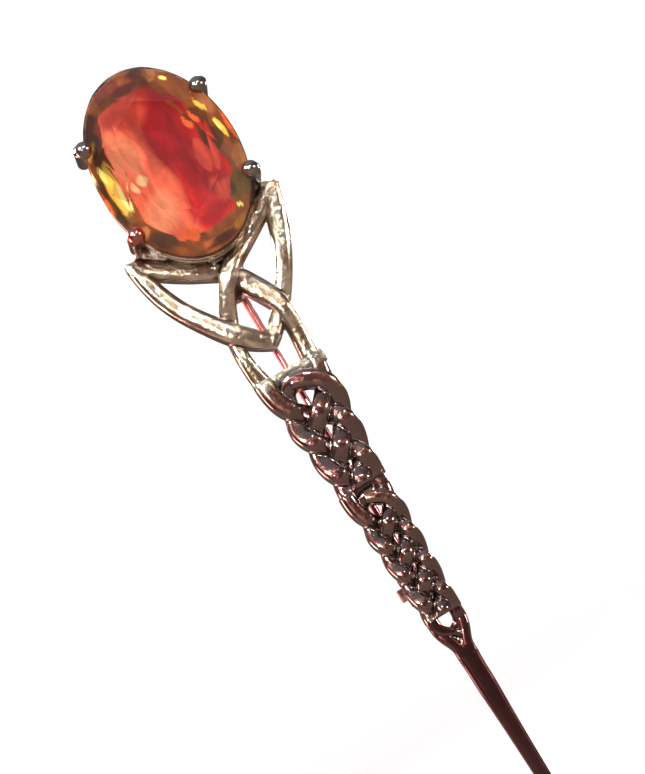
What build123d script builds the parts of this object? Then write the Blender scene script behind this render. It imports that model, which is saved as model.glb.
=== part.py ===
from build123d import *
import os
from math import cos, sin, radians, hypot

os.makedirs("parts", exist_ok=True)

# Millimetres. +Z runs up the brooch towards the stone, the front faces -Y, and the
# origin lies on the axis of the straight pin wire, where cloth is carried on it.

# Stone
STONE_WIDTH = 13.0
STONE_LENGTH = 18.4
STONE_BOTTOM = 1.2
CROWN_HEIGHT = 2.3
PAVILION_DEPTH = 3.7
GIRDLE_THICKNESS = 0.3
TABLE_SHARE = 0.6
TABLE_CORNER = 0.93
CROWN_BREAK = 0.84
CROWN_BREAK_HEIGHT = 0.55
PAVILION_BREAK = 0.5
PAVILION_BREAK_DEPTH = 0.6
GIRDLE_NICK = 0.995
STONE_MAINS = 8
GIRDLE_LIFT = 4.4

# Claws and the two rails that carry them
CLAW_RADIUS = 0.6
BEAD_RADIUS = 0.8
BEAD_LIFT = 0.75
CLAW_RISE = 4.4
CLAW_OFFSET = 0.35
RAIL_INSET = 0.15
LOWER_RAIL_WIDTH = 0.9
LOWER_RAIL_HEIGHT = 0.9
UPPER_RAIL_WIDTH = 0.8
UPPER_RAIL_HEIGHT = 0.7
UPPER_RAIL_GAP = 1.1

# Castings: every height is measured forwards from their common back plane
STRAND_HEIGHT = 1.7
BRIDGE_HEIGHT = 2.3
SHELF_HEIGHT = 1.4
SHELF_WIDTH = 3.0
SHELF_HALF_SPAN = 3.8
KNOT_STRAND = 1.65
UPPER_STRAND = 1.6
LOWER_STRAND = 1.25
TIP_RADIUS = 0.65
BRIDGE_REACH = 1.1

# Heights along the brooch where one casting meets the next
KNOT_END = -9.9
UPPER_END = -22.1
LOWER_END = -35.1
BLADE_END = -62.0
COLLAR = 0.9
TIE = 0.5

# Half widths of the plaits, between the centre lines of their outer strands
UPPER_TOP_HALF = 2.8
UPPER_BOTTOM_HALF = 1.4
LOWER_TOP_HALF = 1.75
LOWER_BOTTOM_HALF = 1.1
UPPER_ROWS = 6
LOWER_ROWS = 8

# How much lower each plait runs at its left edge than at its right, and where in its
# half width the outer crossings and the strands' lower ends lie
UPPER_LEAN = 1.2
LOWER_LEAN = 0.9
CROSSING_SHARE = 0.75
END_SHARES = (-1, -0.4, 0.4, 1)
ARCH_LAP = 0.3
ARCH_DROP = 0.8

# Blade
BLADE_THICKNESS = 1.2
BLADE_NECK = 1.9
BLADE_NECK_DROP = 3.0
BLADE_TIP_WIDTH = 0.7
BLADE_EYE_WIDTH = 1.1
BLADE_EYE_TOP = 0.3
BLADE_EYE_DROP = 1.6

# Pin wire, its hinge and its catch
STEM_RADIUS = 0.35
STEM_END = -34.2
STEM_POINT = 3.9
HINGE_HEIGHT = 2.2
RIVET_RADIUS = 0.4
RIVET_PLAY = 0.05
EYE_WALL = 0.4
EAR_PLAY = 0.1
EAR_THICKNESS = 0.5
EAR_WALL = 0.5
PAD_THICKNESS = 0.4
PAD_MARGIN = 0.35
PAD_ROUND = 0.3
PAD_END = -2.6
RIVET_HEAD_RADIUS = 0.65
RIVET_HEAD = 0.3
CATCH_HEIGHT = -31.9
JOURNAL_RADIUS = 1.05
JOURNAL_PLAY = 0.05
COLLAR_STEP = 0.2
ROLLER_CLEARANCE = 0.15
ROLLER_COLLAR = 1.2
CHEEK = 0.6
CHEEK_WALL = 0.6
CATCH_PLAY = 0.1
SLOT_PLAY = 0.1
TAB_REACH = 2.2
TAB_WIDTH = 0.7
FOOT_SHARE = 0.9
POINT_SHARE = 1 / 6

# Values that follow from the sizes above
half_width = STONE_WIDTH / 2
half_length = STONE_LENGTH / 2
stone_centre = STONE_BOTTOM + half_length
back_y = -(JOURNAL_RADIUS + COLLAR_STEP + ROLLER_CLEARANCE + PAD_THICKNESS)
shelf_y = back_y - SHELF_HEIGHT
girdle_y = back_y - GIRDLE_LIFT
bead_y = girdle_y - BEAD_LIFT


def front_plane(height=0.0):
    """A drawing plane that faces forwards, a height in front of the castings' back."""
    return Plane(origin=(0, back_y - height, 0), x_dir=(1, 0, 0), z_dir=(0, -1, 0))


def strand(points, width):
    """A flat ribbon of one width along a smooth line."""
    with BuildSketch() as ribbon:
        with BuildLine():
            Spline(*points)
        trace(line_width=width)
    return ribbon.sketch


def casting(ribbons, crossings, width, top, bottom):
    """A casting of ribbons, with a raised length of the upper ribbon at each crossing."""
    middle = (top + bottom) / 2
    with BuildPart() as cast:
        for ribbon in ribbons:
            with BuildSketch(front_plane()):
                add(ribbon)
                with Locations((0, middle)):
                    Rectangle(STONE_WIDTH * 2, top - bottom, mode=Mode.INTERSECT)
            extrude(amount=STRAND_HEIGHT)
        for ribbon, place in crossings:
            with BuildSketch(front_plane()):
                add(ribbon)
                with Locations(place):
                    Circle(width * BRIDGE_REACH, mode=Mode.INTERSECT)
                with Locations((0, middle)):
                    Rectangle(STONE_WIDTH * 2, top - bottom, mode=Mode.INTERSECT)
            extrude(amount=BRIDGE_HEIGHT)
    return cast.part


def plait(top, bottom, top_half, bottom_half, rows, width, lean):
    """Ribbons of a four-strand plait whose two inner strands join in an arch at the top."""
    pitch = (top - bottom - width) / rows
    arch = top - ARCH_DROP * width
    lap = ARCH_LAP * width

    def half(z):
        return bottom_half + (top_half - bottom_half) * (z - bottom) / (top - bottom)

    def leaning(share, z):
        return (share * half(z), z - lean * (1 - share) / 2)

    paths = [[(-top_half, top + width)], [(lap, arch)], [(-lap, arch)], [(top_half, top + width)]]
    order = [0, 1, 2, 3]
    crossings = []
    for row in range(rows):
        z = top - width - pitch * (row + 0.5)
        if row % 2 == 0:
            swaps = ((0, -CROSSING_SHARE), (2, CROSSING_SHARE))
            lifted = 0
        else:
            swaps = ((1, 0),)
            lifted = 1
            paths[order[0]].append(leaning(-1, z))
            paths[order[3]].append(leaning(1, z))
        for column, share in swaps:
            place = leaning(share, z)
            paths[order[column]].append(place)
            paths[order[column + 1]].append(place)
            crossings.append((order[column + lifted], place))
            order[column], order[column + 1] = order[column + 1], order[column]
    for column, share in enumerate(END_SHARES):
        paths[order[column]].append((share * bottom_half, bottom - width / 2))
    ribbons = [strand(path, width) for path in paths]
    raised = [(ribbons[index], place) for index, place in crossings]
    return ribbons, raised


# Stone: an oval barrel cut down by flat facets
def facet(angle, low, high):
    """Plane through two points of the stone's profile, given as share of radius and height."""
    share_low, height_low = low
    share_high, height_high = high
    across = cos(radians(angle))
    along = sin(radians(angle))
    rise = height_high - height_low
    lean = share_low - share_high
    start = (
        half_width * across * share_low,
        girdle_y - height_low,
        stone_centre + half_length * along * share_low,
    )
    outward = (rise * across / half_width, -lean, rise * along / half_length)
    if rise < 0:
        outward = tuple(-value for value in outward)
    return Plane(origin=start, z_dir=outward)


edge = GIRDLE_THICKNESS / 2
break_height = CROWN_BREAK_HEIGHT * CROWN_HEIGHT
table_corner = TABLE_SHARE * TABLE_CORNER
facets = []
turn_of_main = 360 / STONE_MAINS
for step in range(STONE_MAINS):
    turn = step * turn_of_main
    between = turn + turn_of_main / 2
    facets.append(facet(turn, (1.0, edge), (TABLE_SHARE, CROWN_HEIGHT)))
    facets.append(facet(between, (CROWN_BREAK, break_height), (table_corner, CROWN_HEIGHT)))
    facets.append(facet(between, (1.0, -edge), (0.0, -PAVILION_DEPTH)))
for step in range(2 * STONE_MAINS):
    turn = (step + 0.5) * turn_of_main / 2
    facets.append(facet(turn, (GIRDLE_NICK, edge), (CROWN_BREAK, break_height)))
    facets.append(facet(turn, (GIRDLE_NICK, -edge), (PAVILION_BREAK, -PAVILION_BREAK_DEPTH * PAVILION_DEPTH)))

with BuildPart() as gemstone:
    with BuildSketch(front_plane(GIRDLE_LIFT - PAVILION_DEPTH)):
        with Locations((0, stone_centre)):
            Ellipse(half_width, half_length)
    extrude(amount=PAVILION_DEPTH + CROWN_HEIGHT)
    for plane in facets:
        split(bisect_by=plane, keep=Keep.BOTTOM)


# Claws: a round post outside the girdle and a bead over the crown, notched round the stone
reach = half_width * (1 - (CLAW_RISE / half_length) ** 2) ** 0.5
slope = hypot(reach / half_width**2, CLAW_RISE / half_length**2)
post_x = reach + CLAW_OFFSET * reach / half_width**2 / slope
post_rise = CLAW_RISE + CLAW_OFFSET * CLAW_RISE / half_length**2 / slope
claw_sides = {
    "claw_upper_left": (-1, 1),
    "claw_upper_right": (1, 1),
    "claw_lower_left": (-1, -1),
    "claw_lower_right": (1, -1),
}
claws = {}
for name, (side, end) in claw_sides.items():
    with BuildPart() as claw:
        with BuildSketch(front_plane(SHELF_HEIGHT)):
            with Locations((post_x, stone_centre + end * post_rise)):
                Circle(CLAW_RADIUS)
        extrude(amount=shelf_y - bead_y)
        with Locations((reach, bead_y, stone_centre + end * CLAW_RISE)):
            Sphere(BEAD_RADIUS)
        add(gemstone.part, mode=Mode.SUBTRACT)
        if side < 0:
            mirror(about=Plane.YZ, mode=Mode.REPLACE)
    claws[name] = claw.part


def rail(height, width, thickness):
    """An oval rail under the stone, notched where the four claws pass."""
    with BuildPart() as ring:
        with BuildSketch(front_plane(height)):
            with Locations((0, stone_centre)):
                Ellipse(half_width - RAIL_INSET, half_length - RAIL_INSET)
                Ellipse(
                    half_width - RAIL_INSET - width,
                    half_length - RAIL_INSET - width,
                    mode=Mode.SUBTRACT,
                )
        extrude(amount=thickness)
        with BuildSketch(front_plane(height)):
            for side, end in claw_sides.values():
                with Locations((side * post_x, stone_centre + end * post_rise)):
                    Circle(CLAW_RADIUS)
        extrude(amount=thickness, mode=Mode.SUBTRACT)
    return ring.part


lower_rail = rail(SHELF_HEIGHT, LOWER_RAIL_WIDTH, LOWER_RAIL_HEIGHT)
upper_rail_height = GIRDLE_LIFT - UPPER_RAIL_GAP - UPPER_RAIL_HEIGHT
upper_rail = rail(upper_rail_height, UPPER_RAIL_WIDTH, UPPER_RAIL_HEIGHT)


# Knot: two strands cross under the stone and run on into the loop, two more meet in a V
tip_left = (-7.0, 4.4)
tip_right = (7.0, 4.6)
vee = (-0.2, -7.1)
inner_left = [tip_left, (-5.0, 3.0), (-3.0, 1.7), (-1.4, 0.8), (-0.15, -0.1), (0.55, -1.2),
              (1.25, -2.6), (1.9, -4.1), (2.2, -5.7), (2.25, -7.5), (2.1, -9.5), (1.95, -10.9)]
inner_right = [tip_right, (5.0, 3.35), (3.0, 2.05), (1.2, 0.95), (-0.15, -0.1), (-1.15, -1.3),
               (-1.9, -2.7), (-2.5, -4.2), (-2.9, -6.0), (-3.0, -7.7), (-2.85, -9.5), (-2.6, -10.9)]
outer_left = [tip_left, (-6.55, 1.8), (-5.55, -0.8), (-4.3, -2.95), (-2.75, -5.0), vee]
outer_right = [tip_right, (6.1, 2.0), (4.9, -0.9), (3.7, -2.9), (2.2, -4.85), vee]
knot_ribbons = {
    "inner_left": strand(inner_left, KNOT_STRAND),
    "inner_right": strand(inner_right, KNOT_STRAND),
    "outer_left": strand(outer_left, KNOT_STRAND),
    "outer_right": strand(outer_right, KNOT_STRAND),
}
knot_crossings = [
    (knot_ribbons["inner_right"], (-0.15, -0.1)),
    (knot_ribbons["inner_left"], (2.1, -4.95)),
    (knot_ribbons["outer_left"], (-2.75, -5.0)),
]
knot_cast = casting(
    knot_ribbons.values(), knot_crossings, KNOT_STRAND, STONE_BOTTOM + half_length, KNOT_END
)
with BuildPart() as trinity_knot:
    add(knot_cast)
    with BuildSketch(front_plane()):
        with Locations(tip_left, tip_right):
            Circle(KNOT_STRAND / 2)
        with Locations(vee):
            Circle(TIP_RADIUS)
    extrude(amount=STRAND_HEIGHT)
    with BuildSketch(front_plane()):
        with Locations((0, stone_centre)):
            Ellipse(half_width, half_length)
            Ellipse(half_width - SHELF_WIDTH, half_length - SHELF_WIDTH, mode=Mode.SUBTRACT)
        with Locations((0, STONE_BOTTOM)):
            Rectangle(2 * SHELF_HALF_SPAN, STONE_LENGTH / 2, mode=Mode.INTERSECT)
    extrude(amount=SHELF_HEIGHT)
    with BuildSketch(front_plane(SHELF_HEIGHT)):
        with Locations((0, stone_centre)):
            Ellipse(half_width - RAIL_INSET, half_length - RAIL_INSET)
    extrude(amount=BRIDGE_HEIGHT, mode=Mode.SUBTRACT)


# Upper plait, closed by a collar under the knot and by a tie over the lower plait
upper_ribbons, upper_crossings = plait(
    KNOT_END, UPPER_END, UPPER_TOP_HALF, UPPER_BOTTOM_HALF, UPPER_ROWS, UPPER_STRAND, UPPER_LEAN
)
upper_cast = casting(upper_ribbons, upper_crossings, UPPER_STRAND, KNOT_END, UPPER_END)
with BuildPart() as upper_plait:
    add(upper_cast)
    with BuildSketch(front_plane()):
        with Locations((0, KNOT_END - COLLAR / 2)):
            Rectangle(2 * UPPER_TOP_HALF + UPPER_STRAND, COLLAR)
        with Locations((0, UPPER_END + TIE / 2)):
            Rectangle(2 * UPPER_BOTTOM_HALF + UPPER_STRAND, TIE)
    extrude(amount=SHELF_HEIGHT)


# Lower plait
lower_ribbons, lower_crossings = plait(
    UPPER_END, LOWER_END, LOWER_TOP_HALF, LOWER_BOTTOM_HALF, LOWER_ROWS, LOWER_STRAND, LOWER_LEAN
)
lower_cast = casting(lower_ribbons, lower_crossings, LOWER_STRAND, UPPER_END, LOWER_END)
with BuildPart() as lower_plait:
    add(lower_cast)
    with BuildSketch(front_plane()):
        with Locations((0, UPPER_END - TIE / 2)):
            Rectangle(2 * LOWER_TOP_HALF + LOWER_STRAND, TIE)
        with Locations((0, LOWER_END + TIE / 2)):
            Rectangle(2 * LOWER_BOTTOM_HALF + LOWER_STRAND, TIE)
    extrude(amount=SHELF_HEIGHT)


# Blade: two strands close round an eye and run on as a flat taper
root_half = LOWER_BOTTOM_HALF + LOWER_STRAND / 2
neck = LOWER_END - BLADE_NECK_DROP
with BuildPart() as blade:
    with BuildSketch(front_plane()):
        with BuildLine():
            Polyline(
                (-BLADE_TIP_WIDTH / 2, BLADE_END + BLADE_TIP_WIDTH / 2),
                (-BLADE_NECK / 2, neck),
                (-root_half, LOWER_END),
                (root_half, LOWER_END),
                (BLADE_NECK / 2, neck),
                (BLADE_TIP_WIDTH / 2, BLADE_END + BLADE_TIP_WIDTH / 2),
            )
            ThreePointArc(
                (BLADE_TIP_WIDTH / 2, BLADE_END + BLADE_TIP_WIDTH / 2),
                (0, BLADE_END),
                (-BLADE_TIP_WIDTH / 2, BLADE_END + BLADE_TIP_WIDTH / 2),
            )
        make_face()
        with BuildLine():
            Polyline(
                (-BLADE_EYE_WIDTH / 2, LOWER_END - BLADE_EYE_TOP),
                (BLADE_EYE_WIDTH / 2, LOWER_END - BLADE_EYE_TOP),
                (0, LOWER_END - BLADE_EYE_DROP),
                close=True,
            )
        make_face(mode=Mode.SUBTRACT)
    extrude(amount=BLADE_THICKNESS)


# Pin hinge: a bracket with two ears on the back of the knot, a rivet and the pin wire
eye_radius = RIVET_RADIUS + RIVET_PLAY + EYE_WALL
ear_gap = STEM_RADIUS + EAR_PLAY
ear_radius = RIVET_RADIUS + EAR_WALL
pad_half = ear_gap + EAR_THICKNESS + PAD_MARGIN
pad_top = HINGE_HEIGHT + ear_radius + PAD_ROUND
side_plane = Plane(origin=(0, 0, HINGE_HEIGHT), x_dir=(0, 1, 0), z_dir=(1, 0, 0))
with BuildPart() as pin_bracket:
    with BuildSketch(Plane(origin=(0, back_y, (pad_top + PAD_END) / 2), x_dir=(1, 0, 0), z_dir=(0, 1, 0))):
        RectangleRounded(2 * pad_half, pad_top - PAD_END, PAD_ROUND)
    extrude(amount=PAD_THICKNESS)
    for side in (-1, 1):
        with BuildSketch(side_plane.offset(side * (ear_gap + EAR_THICKNESS / 2))):
            Circle(ear_radius)
            with Locations((back_y / 2, 0)):
                Rectangle(-back_y, 2 * ear_radius)
        extrude(amount=EAR_THICKNESS / 2, both=True)
    with BuildSketch(side_plane):
        Circle(RIVET_RADIUS)
    extrude(amount=pad_half * 2, both=True, mode=Mode.SUBTRACT)

with BuildPart() as pin_rivet:
    with BuildSketch(side_plane):
        Circle(RIVET_RADIUS)
    extrude(amount=ear_gap + EAR_THICKNESS, both=True)
    for side in (-1, 1):
        with BuildSketch(side_plane.offset(side * (ear_gap + EAR_THICKNESS))):
            Circle(RIVET_HEAD_RADIUS)
        extrude(amount=side * RIVET_HEAD)

with BuildPart() as pin_stem:
    with BuildSketch(side_plane):
        Circle(eye_radius)
    extrude(amount=STEM_RADIUS, both=True)
    with BuildSketch(Plane(origin=(0, 0, HINGE_HEIGHT), z_dir=(0, 0, -1))):
        Circle(STEM_RADIUS)
    extrude(amount=HINGE_HEIGHT - STEM_END - STEM_POINT)
    with BuildSketch(Plane(origin=(0, 0, STEM_END + STEM_POINT), z_dir=(0, 0, -1))):
        Circle(STEM_RADIUS)
    with BuildSketch(Plane(origin=(0, 0, STEM_END), z_dir=(0, 0, -1))):
        Circle(STEM_RADIUS * POINT_SHARE)
    loft()
    with BuildSketch(side_plane):
        Circle(RIVET_RADIUS + RIVET_PLAY)
    extrude(amount=eye_radius, both=True, mode=Mode.SUBTRACT)


# Catch: a housing with two cheeks open to the rear, and a slotted roller with a thumb tab
bore_radius = JOURNAL_RADIUS + JOURNAL_PLAY
cheek_radius = bore_radius + CHEEK_WALL
slot_width = 2 * (STEM_RADIUS + SLOT_PLAY)
collar_radius = JOURNAL_RADIUS + COLLAR_STEP
gap_height = ROLLER_COLLAR + 2 * CATCH_PLAY
catch_height = gap_height + 2 * CHEEK
catch_plane = Plane(origin=(0, 0, CATCH_HEIGHT))
with BuildPart() as catch_base:
    with BuildSketch(catch_plane):
        Circle(cheek_radius)
        with Locations((0, back_y / 2)):
            Rectangle(2 * cheek_radius * FOOT_SHARE, -back_y)
        with Locations((0, back_y - cheek_radius)):
            Rectangle(4 * cheek_radius, 2 * cheek_radius, mode=Mode.SUBTRACT)
    extrude(amount=catch_height / 2, both=True)
    with BuildSketch(catch_plane):
        with Locations((0, back_y + PAD_THICKNESS + 2 * cheek_radius)):
            Rectangle(4 * cheek_radius, 4 * cheek_radius)
    extrude(amount=gap_height / 2, both=True, mode=Mode.SUBTRACT)
    with BuildSketch(catch_plane):
        Circle(bore_radius)
        with Locations((0, cheek_radius)):
            Rectangle(slot_width, 2 * cheek_radius)
    extrude(amount=catch_height, both=True, mode=Mode.SUBTRACT)

with BuildPart() as catch_roller:
    with BuildSketch(catch_plane):
        Circle(JOURNAL_RADIUS)
    extrude(amount=catch_height / 2, both=True)
    with BuildSketch(catch_plane):
        Circle(collar_radius)
        with Locations((-TAB_REACH / 2, 0)):
            Rectangle(TAB_REACH, TAB_WIDTH)
    extrude(amount=ROLLER_COLLAR / 2, both=True)
    with BuildSketch(catch_plane):
        Circle(slot_width / 2)
        with Locations((0, collar_radius)):
            Rectangle(slot_width, 2 * collar_radius)
    extrude(amount=catch_height, both=True, mode=Mode.SUBTRACT)


gemstone.part.label = "gemstone"
export_step(gemstone.part, "parts/gemstone.step")
for name, claw_part in claws.items():
    claw_part.label = name
    export_step(claw_part, f"parts/{name}.step")
lower_rail.label = "gallery_rail_lower"
export_step(lower_rail, "parts/gallery_rail_lower.step")
upper_rail.label = "gallery_rail_upper"
export_step(upper_rail, "parts/gallery_rail_upper.step")
trinity_knot.part.label = "trinity_knot"
export_step(trinity_knot.part, "parts/trinity_knot.step")
upper_plait.part.label = "upper_plait"
export_step(upper_plait.part, "parts/upper_plait.step")
lower_plait.part.label = "lower_plait"
export_step(lower_plait.part, "parts/lower_plait.step")
blade.part.label = "blade"
export_step(blade.part, "parts/blade.step")
pin_bracket.part.label = "pin_bracket"
export_step(pin_bracket.part, "parts/pin_bracket.step")
pin_rivet.part.label = "pin_rivet"
export_step(pin_rivet.part, "parts/pin_rivet.step")
pin_stem.part.label = "pin_stem"
export_step(pin_stem.part, "parts/pin_stem.step")
catch_base.part.label = "catch_base"
export_step(catch_base.part, "parts/catch_base.step")
catch_roller.part.label = "catch_roller"
export_step(catch_roller.part, "parts/catch_roller.step")
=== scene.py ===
import math

import bmesh
import bpy
import numpy as np
from bpy.props import FloatProperty, FloatVectorProperty, IntProperty, PointerProperty
from mathutils import Matrix, Vector


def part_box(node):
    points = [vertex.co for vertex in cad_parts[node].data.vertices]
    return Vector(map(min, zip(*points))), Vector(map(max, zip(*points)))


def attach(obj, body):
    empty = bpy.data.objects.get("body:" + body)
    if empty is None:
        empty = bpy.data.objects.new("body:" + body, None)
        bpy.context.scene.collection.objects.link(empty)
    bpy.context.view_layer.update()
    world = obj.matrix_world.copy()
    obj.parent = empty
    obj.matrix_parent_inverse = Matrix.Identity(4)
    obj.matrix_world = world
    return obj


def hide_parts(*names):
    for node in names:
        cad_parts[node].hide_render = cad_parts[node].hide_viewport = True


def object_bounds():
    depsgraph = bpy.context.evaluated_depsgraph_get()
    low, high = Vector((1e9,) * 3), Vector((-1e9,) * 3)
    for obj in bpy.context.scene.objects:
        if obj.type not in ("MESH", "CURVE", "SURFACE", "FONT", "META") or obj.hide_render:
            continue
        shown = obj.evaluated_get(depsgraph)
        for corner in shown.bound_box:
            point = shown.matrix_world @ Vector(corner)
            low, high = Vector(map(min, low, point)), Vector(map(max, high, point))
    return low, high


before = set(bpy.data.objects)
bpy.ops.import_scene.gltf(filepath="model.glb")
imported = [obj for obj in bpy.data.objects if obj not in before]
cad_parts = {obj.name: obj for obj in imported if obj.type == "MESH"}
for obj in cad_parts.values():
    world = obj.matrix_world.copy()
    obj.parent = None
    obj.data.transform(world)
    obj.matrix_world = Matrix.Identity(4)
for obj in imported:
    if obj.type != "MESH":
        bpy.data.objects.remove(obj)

bl_info = {
    "name": "Kilt Pin Workshop",
    "version": (1, 0, 0),
    "blender": (4, 5, 0),
    "location": "3D View > Sidebar > Kilt Pin",
    "description": "Builds the stone, claws, knotwork, pin and catch of an upright brooch",
    "category": "Object",
}

# Shapes are worked out in millimetres and scaled to metres when a piece is finished.
MM = 0.001
CAD_BOX = [list(corner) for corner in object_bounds()]
ROOT = "brooch"


def box_mm(node):
    """Lowest and highest corner of a node, in millimetres."""
    low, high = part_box(node)
    return Vector(low) / MM, Vector(high) / MM


KNOT_LOW, KNOT_HIGH = box_mm("trinity_knot")
UPPER_LOW, UPPER_HIGH = box_mm("upper_plait")
LOWER_LOW, LOWER_HIGH = box_mm("lower_plait")
BLADE_LOW, BLADE_HIGH = box_mm("blade")
STONE_LOW, STONE_HIGH = box_mm("gemstone")
BACK = KNOT_HIGH.y
CREST = KNOT_HIGH.y - KNOT_LOW.y


def tint(red, green, blue):
    """Linear colour from the 0 to 255 numbers of a colour swatch."""
    def linear(value):
        share = value / 255
        return share / 12.92 if share <= 0.04045 else ((share + 0.055) / 1.055) ** 2.4
    return (linear(red), linear(green), linear(blue))


# ---------------------------------------------------------------- settings

class StoneSettings(bpy.types.PropertyGroup):
    glass: FloatVectorProperty(
        name="Glass", description="Tint of the clear body", subtype="COLOR",
        default=tint(255, 246, 230), min=0, max=1)
    rim: FloatVectorProperty(
        name="Rim", description="Deep brown of the outer facets", subtype="COLOR",
        default=tint(118, 62, 24), min=0, max=1)
    crown_share: FloatProperty(
        name="Crown", description="Share of the stone's depth in front of its edge",
        default=0.383, min=0.1, max=0.9)
    # Coral and crimson are the painted view of the finger behind the stone, seen through its middle:
    # coral to the left, crimson to the right
    coral: FloatVectorProperty(
        name="Coral", description="Light side of the heart", subtype="COLOR",
        default=tint(228, 100, 74), min=0, max=1)
    crimson: FloatVectorProperty(
        name="Crimson", description="Dark side of the heart", subtype="COLOR",
        default=tint(178, 26, 26), min=0, max=1)


class MetalSettings(bpy.types.PropertyGroup):
    silver: FloatVectorProperty(
        name="Silver", description="Polished faces of the knot", subtype="COLOR",
        default=tint(240, 230, 208), min=0, max=1)
    brown: FloatVectorProperty(
        name="Brown", description="Cloudy tarnish on the knot's faces", subtype="COLOR",
        default=tint(168, 142, 112), min=0, max=1)
    # Painted shade on walls and in hollows of the knot and rails
    umber_shade: FloatVectorProperty(
        name="Umber shade", description="Walls and hollows of the knot", subtype="COLOR",
        default=tint(86, 64, 52), min=0, max=1)
    # Painted reflection of dark red surroundings on the silver faces of the plait and blade
    plum_reflection: FloatVectorProperty(
        name="Plum reflection", description="Reflection-painted faces of the plait and blade", subtype="COLOR",
        default=tint(90, 40, 45), min=0, max=1)
    bronze: FloatVectorProperty(
        name="Bronze", description="Cloudy tarnish on the plait's faces", subtype="COLOR",
        default=tint(92, 60, 44), min=0, max=1)
    # Painted shade on walls and in hollows of the plait and blade
    plait_shade: FloatVectorProperty(
        name="Plait shade", description="Hollows of the plait", subtype="COLOR",
        default=tint(46, 32, 20), min=0, max=1)
    grain: FloatProperty(
        name="Casting grain", description="Size of the cast surface's ripples",
        default=0.55, min=0.1, max=3, unit="NONE")


class StrandSettings(bpy.types.PropertyGroup):
    voxel: FloatProperty(
        name="Fineness", description="Size of the cells that melt strands together, in millimetres",
        default=0.055, min=0.03, max=0.3)
    under: FloatProperty(
        name="Under height", description="Crest of a strand that passes under, in millimetres",
        default=1.2, min=0.5, max=2)
    rows_upper: IntProperty(
        name="Upper crossings", description="Rows of crossings in the upper plait",
        default=6, min=2, max=12)
    rows_lower: IntProperty(
        name="Lower crossings", description="Rows of crossings in the lower plait",
        default=8, min=2, max=12)


class StageSettings(bpy.types.PropertyGroup):
    turn: FloatProperty(
        name="Turn", description="Camera's angle round the brooch", default=math.radians(-6.5),
        subtype="ANGLE")
    rise: FloatProperty(
        name="Rise", description="Camera's angle above the level", default=math.radians(-7),
        subtype="ANGLE")
    roll: FloatProperty(
        name="Roll", description="Camera's roll", default=math.radians(31.95), subtype="ANGLE")
    distance: FloatProperty(
        name="Distance", description="From the camera to the plait", default=0.158, unit="LENGTH")
    lens: FloatProperty(name="Lens", description="Focal length in millimetres", default=85)
    dusk: FloatVectorProperty(
        name="Dusk", description="Colour of the paper as mirrors show it", subtype="COLOR",
        default=tint(92, 78, 68), min=0, max=1)
    paper: FloatVectorProperty(
        name="Paper", description="Colour of the studio sweep", subtype="COLOR",
        default=(0.9, 0.9, 0.9), min=0, max=1)


# ---------------------------------------------------------------- lines and meshes

def spline_through(points, step):
    """Evenly spaced samples of a natural cubic spline; the first two columns set its length."""
    points = np.array(points, float)
    chord = np.linalg.norm(np.diff(points[:, :2], axis=0), axis=1)
    knots = np.concatenate([[0.0], np.cumsum(chord)])
    count = len(points)
    system = np.eye(count)
    target = np.zeros_like(points)
    for i in range(1, count - 1):
        before, after = chord[i - 1], chord[i]
        system[i, i - 1:i + 2] = before, 2 * (before + after), after
        rise = (points[i + 1] - points[i]) / after - (points[i] - points[i - 1]) / before
        target[i] = 6 * rise
    bend = np.linalg.solve(system, target)
    places = np.linspace(0, knots[-1], max(4, int(knots[-1] / step)))
    span = np.clip(np.searchsorted(knots, places, side="right") - 1, 0, count - 2)
    width = chord[span][:, None]
    left = (knots[span + 1] - places)[:, None] / width
    right = 1 - left
    line = (left * points[span] + right * points[span + 1]
            + ((left ** 3 - left) * bend[span] + (right ** 3 - right) * bend[span + 1]) * width ** 2 / 6)
    # height and width never leave the range of the two points they lie between
    low = np.minimum(points[span], points[span + 1])[:, 2:]
    high = np.maximum(points[span], points[span + 1])[:, 2:]
    line[:, 2:] = np.clip(line[:, 2:], low, high)
    return line


def mesh_from(name, corners, faces):
    mesh = bpy.data.meshes.new(name)
    mesh.from_pydata([tuple(corner) for corner in corners], [], faces)
    mesh.validate()
    return mesh


def arch_section(squareness, steps=14):
    """Half-round outline from the left wall over the crest to the right wall."""
    outline = []
    for step in range(steps + 1):
        angle = math.pi * (1 - step / steps)
        across = math.copysign(abs(math.cos(angle)) ** (2 / squareness), math.cos(angle))
        outline.append((across, max(math.sin(angle), 0) ** (2 / squareness)))
    return outline


def strand_mesh(name, points, dome, squareness):
    """A closed strand. Each point holds x, z, crest height and width, all in millimetres."""
    line = spline_through(points, 0.12)
    heading = np.gradient(line[:, :2], axis=0)
    heading /= np.linalg.norm(heading, axis=1)[:, None]
    outline = arch_section(squareness)
    corners, faces = [], []
    ring = len(outline) + 2
    for (x, z, crest, width), (run_x, run_z) in zip(line, heading):
        shoulder = max(crest - dome, 0.15)
        profile = [(-1, 0.0)]
        profile += [(across, shoulder + (crest - shoulder) * up) for across, up in outline]
        profile += [(1, 0.0)]
        for across, height in profile:
            offset = across * width / 2
            corners.append((x + run_z * offset, BACK - height, z - run_x * offset))
    for row in range(len(line) - 1):
        for column in range(ring):
            a = row * ring + column
            b = row * ring + (column + 1) % ring
            faces.append((a, b, b + ring, a + ring))
    faces.append(tuple(range(ring))[::-1])
    faces.append(tuple(range((len(line) - 1) * ring, len(line) * ring)))
    return mesh_from(name, corners, faces)


def slab_mesh(name, outline, back, front):
    """A flat plate of one outline between two depths."""
    count = len(outline)
    corners = [(x, back, z) for x, z in outline] + [(x, front, z) for x, z in outline]
    faces = [tuple(range(count))[::-1], tuple(range(count, 2 * count))]
    faces += [(i, (i + 1) % count, count + (i + 1) % count, count + i) for i in range(count)]
    return mesh_from(name, corners, faces)


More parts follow.
